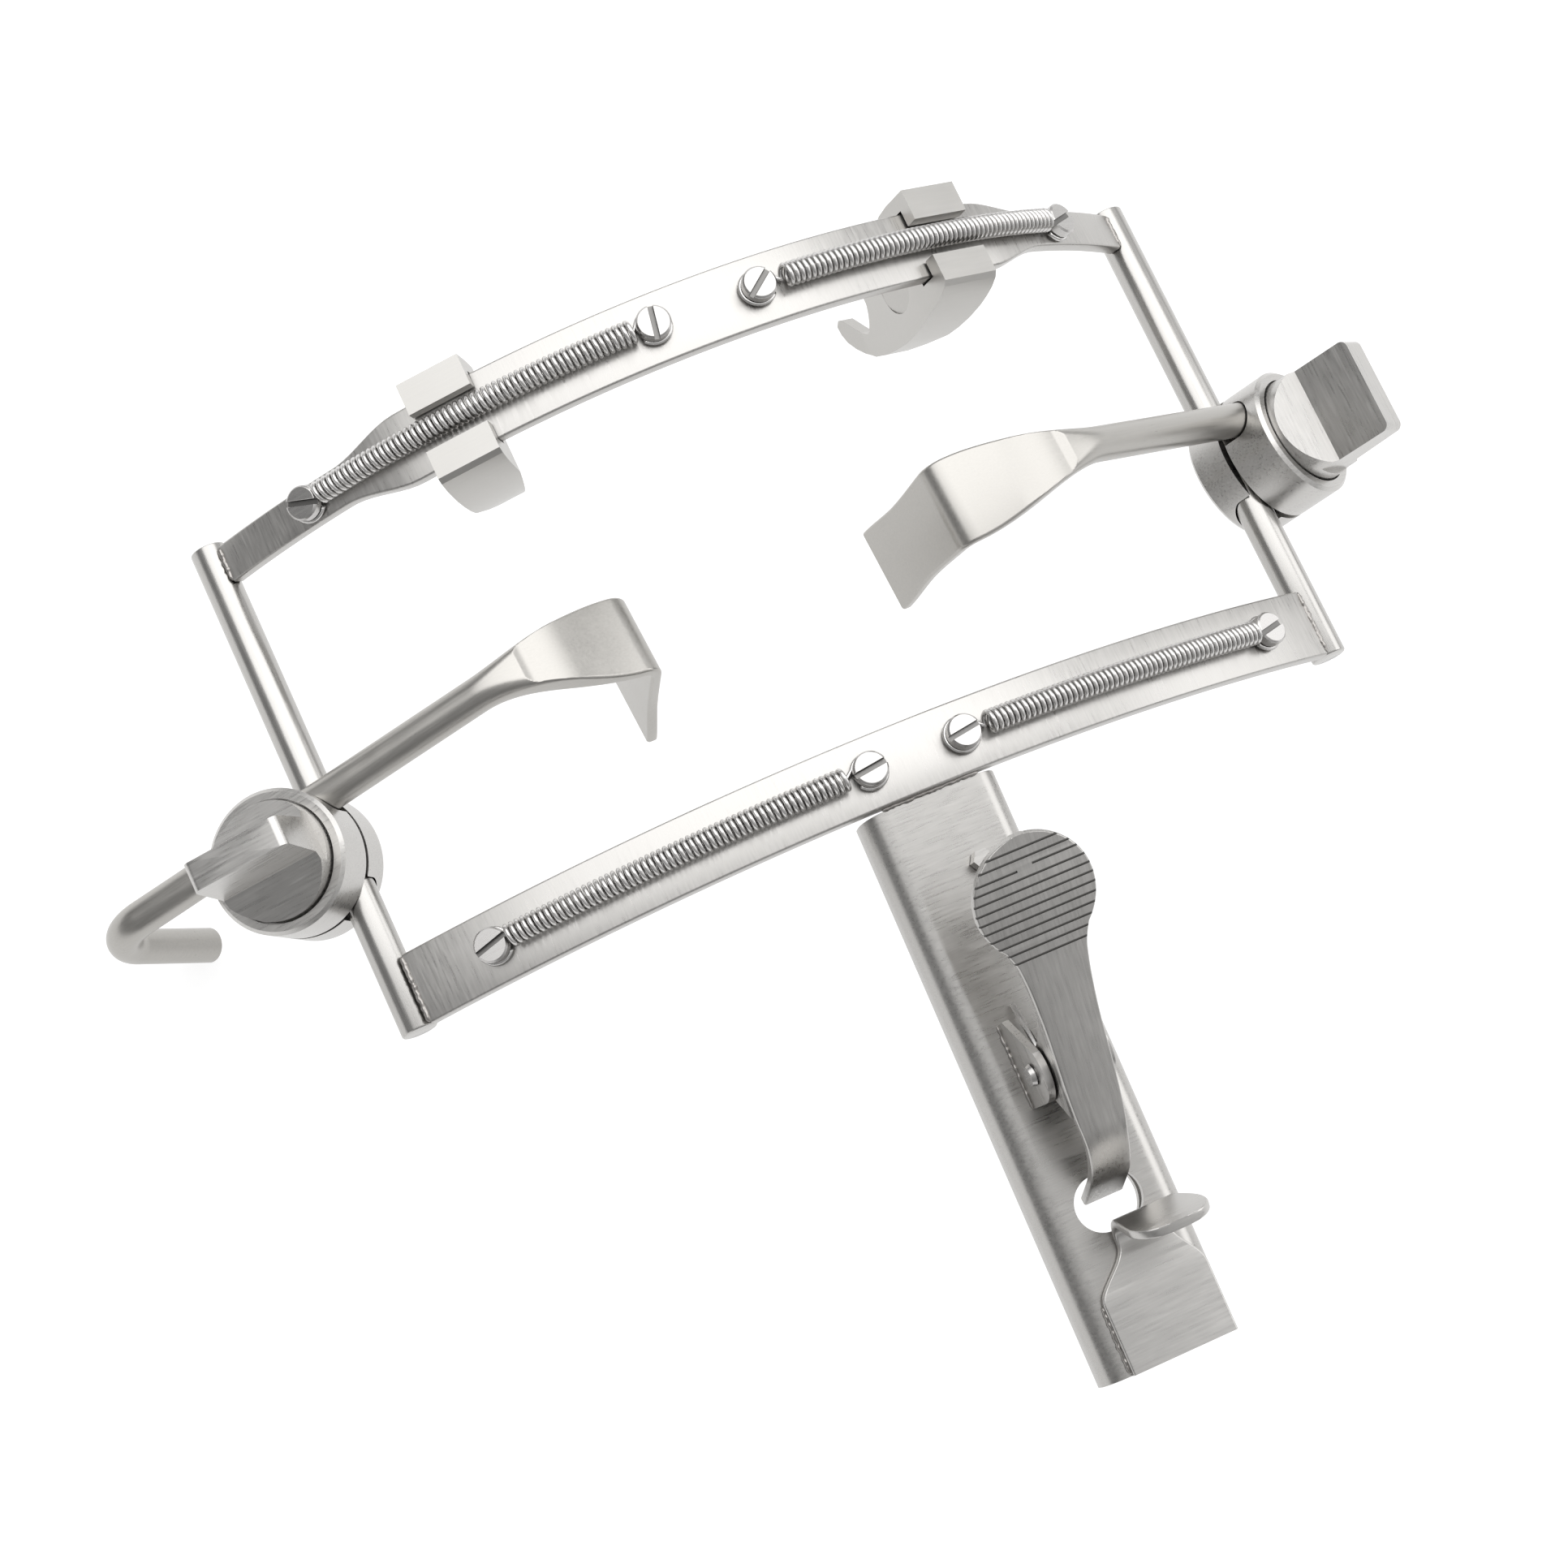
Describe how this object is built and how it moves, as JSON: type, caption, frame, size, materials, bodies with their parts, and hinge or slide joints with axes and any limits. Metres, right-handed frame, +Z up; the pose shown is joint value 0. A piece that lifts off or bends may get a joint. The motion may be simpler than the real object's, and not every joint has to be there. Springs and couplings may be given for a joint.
{
  "type": "mouth gag",
  "caption": "Arched surgical mouth gag with sliding tooth hooks, clamped cheek retractors, suture springs and a channel handle with a catch lever.",
  "frame": {"origin": "the middle of the handle channel's floor, at its open end", "axes": "X across the mouth, Y from the handle to the upper bar, Z up, towards the surgeon; the gag lies on its back"},
  "size_m": [0.2286, 0.1874, 0.0873],
  "materials": {
    "catch_lever_steel": "drawn or milled, duller",
    "end_tab_plate_steel": "fine satin",
    "handle_tube_steel": "fine satin",
    "left_back_jaw_steel": "fine satin",
    "left_cheek_retractor_steel": "fine satin",
    "left_clamp_bolt_steel": "turned, brighter",
    "left_front_jaw_steel": "fine satin",
    "left_lever_ear_steel": "fine satin",
    "left_side_rod_steel": "fine satin",
    "left_tooth_hook_steel": "fine satin",
    "left_wing_knob_steel": "fine satin",
    "lever_pin_steel": "turned, brighter",
    "lever_spring_steel": "drawn or milled, duller",
    "lower_bar_steel": "fine satin",
    "lower_left_inner_screw_steel": "turned, brighter",
    "lower_left_outer_screw_steel": "turned, brighter",
    "lower_left_spring_steel": "drawn or milled, duller",
    "lower_right_inner_screw_steel": "turned, brighter",
    "lower_right_outer_screw_steel": "turned, brighter",
    "lower_right_spring_steel": "drawn or milled, duller",
    "right_back_jaw_steel": "fine satin",
    "right_cheek_retractor_steel": "fine satin",
    "right_clamp_bolt_steel": "turned, brighter",
    "right_front_jaw_steel": "fine satin",
    "right_lever_ear_steel": "fine satin",
    "right_side_rod_steel": "fine satin",
    "right_tooth_hook_steel": "fine satin",
    "right_wing_knob_steel": "fine satin",
    "stop_screw_steel": "fine satin",
    "upper_bar_steel": "fine satin",
    "upper_left_inner_screw_steel": "turned, brighter",
    "upper_left_outer_screw_steel": "turned, brighter",
    "upper_left_spring_steel": "drawn or milled, duller",
    "upper_right_inner_screw_steel": "turned, brighter",
    "upper_right_outer_screw_steel": "turned, brighter",
    "upper_right_spring_steel": "drawn or milled, duller"
  },
  "bodies": {
    "frame": {"left_side_rod": "left_side_rod_steel", "right_side_rod": "right_side_rod_steel", "upper_bar": "upper_bar_steel", "lower_bar": "lower_bar_steel", "lower_left_inner_screw": "lower_left_inner_screw_steel", "lower_left_outer_screw": "lower_left_outer_screw_steel", "lower_right_inner_screw": "lower_right_inner_screw_steel", "lower_right_outer_screw": "lower_right_outer_screw_steel", "stop_screw": "stop_screw_steel", "upper_left_inner_screw": "upper_left_inner_screw_steel", "upper_left_outer_screw": "upper_left_outer_screw_steel", "upper_right_inner_screw": "upper_right_inner_screw_steel", "upper_right_outer_screw": "upper_right_outer_screw_steel", "lower_left_spring": "lower_left_spring_steel", "lower_right_spring": "lower_right_spring_steel", "upper_left_spring": "upper_left_spring_steel", "upper_right_spring": "upper_right_spring_steel", "handle_tube": "handle_tube_steel", "end_tab_plate": "end_tab_plate_steel", "left_lever_ear": "left_lever_ear_steel", "right_lever_ear": "right_lever_ear_steel", "lever_pin": "lever_pin_steel"},
    "left_tooth_hook": {"left_tooth_hook": "left_tooth_hook_steel"},
    "right_tooth_hook": {"right_tooth_hook": "right_tooth_hook_steel"},
    "left_clamp": {"left_back_jaw": "left_back_jaw_steel", "left_clamp_bolt": "left_clamp_bolt_steel"},
    "left_front_jaw": {"left_front_jaw": "left_front_jaw_steel"},
    "left_retractor": {"left_cheek_retractor": "left_cheek_retractor_steel"},
    "left_wing_knob": {"left_wing_knob": "left_wing_knob_steel"},
    "right_clamp": {"right_back_jaw": "right_back_jaw_steel", "right_clamp_bolt": "right_clamp_bolt_steel"},
    "right_front_jaw": {"right_front_jaw": "right_front_jaw_steel"},
    "right_retractor": {"right_cheek_retractor": "right_cheek_retractor_steel"},
    "right_wing_knob": {"right_wing_knob": "right_wing_knob_steel"},
    "lever": {"catch_lever": "catch_lever_steel", "lever_spring": "lever_spring_steel"}
  },
  "joints": [
    {"name": "left_tooth_hook_slide", "type": "hinge", "parent": "frame", "child": "left_tooth_hook", "pos_m": [-0.00265, 0.17732, -0.07902], "axis": [0, 1, 0], "range_deg": [-1.5, 18]},
    {"name": "right_tooth_hook_slide", "type": "hinge", "parent": "frame", "child": "right_tooth_hook", "pos_m": [-0.00265, 0.17732, -0.07902], "axis": [0, 1, 0], "range_deg": [-18, 1.5]},
    {"name": "left_clamp_slide", "type": "slide", "parent": "frame", "child": "left_clamp", "axis": [0, 1, 0], "range_m": [-0.008, 0.012]},
    {"name": "left_front_jaw_swing", "type": "hinge", "parent": "left_clamp", "child": "left_front_jaw", "pos_m": [-0.09123, 0.12692, -0.00659], "axis": [-0.4648, 0, 0.8854], "range_deg": [-7, 7]},
    {"name": "left_retractor_slide", "type": "slide", "parent": "left_front_jaw", "child": "left_retractor", "axis": [0.8824, 0.0828, 0.4632], "range_m": [-0.012, 0.015]},
    {"name": "left_wing_knob_turn", "type": "hinge", "parent": "left_clamp", "child": "left_wing_knob", "pos_m": [-0.09123, 0.12692, -0.00659], "axis": [-0.4648, 0, 0.8854], "continuous": true},
    {"name": "right_clamp_slide", "type": "slide", "parent": "frame", "child": "right_clamp", "axis": [0, 1, 0], "range_m": [-0.007, 0.012]},
    {"name": "right_front_jaw_swing", "type": "hinge", "parent": "right_clamp", "child": "right_front_jaw", "pos_m": [0.08521, 0.13142, -0.00767], "axis": [0.6361, 0, 0.7716], "range_deg": [-7, 7]},
    {"name": "right_retractor_slide", "type": "slide", "parent": "right_front_jaw", "child": "right_retractor", "axis": [-0.7697, -0.0715, 0.6345], "range_m": [-0.025, 0.0005]},
    {"name": "right_wing_knob_turn", "type": "hinge", "parent": "right_clamp", "child": "right_wing_knob", "pos_m": [0.08521, 0.13142, -0.00767], "axis": [0.6361, 0, 0.7716], "continuous": true},
    {"name": "lever_press", "type": "hinge", "parent": "frame", "child": "lever", "pos_m": [0.00065, 0.0462, 0.0225], "axis": [-1, 0, 0], "range_deg": [0, 15], "stiffness_Nm_per_rad": 0.35, "springref_deg": -20.05, "deforming": ["lever_spring"]}
  ]
}
